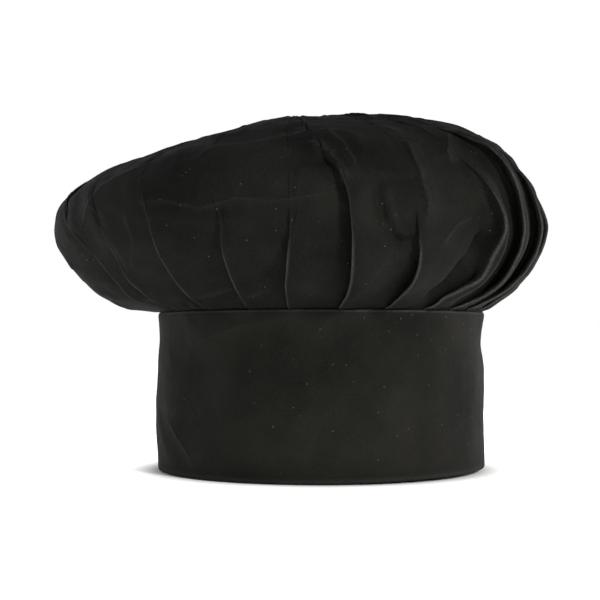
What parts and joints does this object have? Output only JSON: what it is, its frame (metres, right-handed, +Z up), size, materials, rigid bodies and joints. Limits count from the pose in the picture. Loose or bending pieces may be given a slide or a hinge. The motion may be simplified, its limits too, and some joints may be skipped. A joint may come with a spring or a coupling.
{
  "type": "chef toque",
  "caption": "Floppy pleated chef hat: a gathered cloth crown on a wide stiffened band that closes at the back with a hook-and-loop tab.",
  "frame": {"origin": "centre of the head opening, on the plane of the band's lower edge", "axes": "+Z up to the top of the crown, -Y towards the wearer's face, +X to the wearer's left; the crown flops to -X"},
  "size_m": [0.2802, 0.2635, 0.202],
  "materials": {
    "crown_twill": "matte black poly-cotton twill",
    "band_twill": "matte black poly-cotton twill",
    "stiffener": "matte white fusible interfacing",
    "hook_tape": "black woven nylon with moulded hooks",
    "loop_tape": "black brushed nylon loop",
    "thread": "black polyester sewing thread",
    "label": "white satin label, blank"
  },
  "bodies": {
    "hat": {"crown": "crown_twill", "band_shell": "band_twill", "band_stiffener": "stiffener", "crown_seam_thread": "thread", "underlap_end_thread": "thread", "tab_root_tack_lower": "thread", "tab_root_tack_upper": "thread", "slit_tack": "thread", "loop_tape": "loop_tape", "loop_tape_thread": "thread", "care_label": "label", "size_label": "label"},
    "closure_tab": {"closure_tab": "band_twill", "tab_stiffener": "stiffener", "hook_tape": "hook_tape", "hook_tape_thread": "thread", "tab_edge_thread": "thread"}
  },
  "joints": [
    {"name": "closure_peel", "type": "hinge", "parent": "hat", "child": "closure_tab", "pos_m": [-0.03746, 0.08621, 0.044], "axis": [0, 0, 1], "range_deg": [0, 100]}
  ]
}
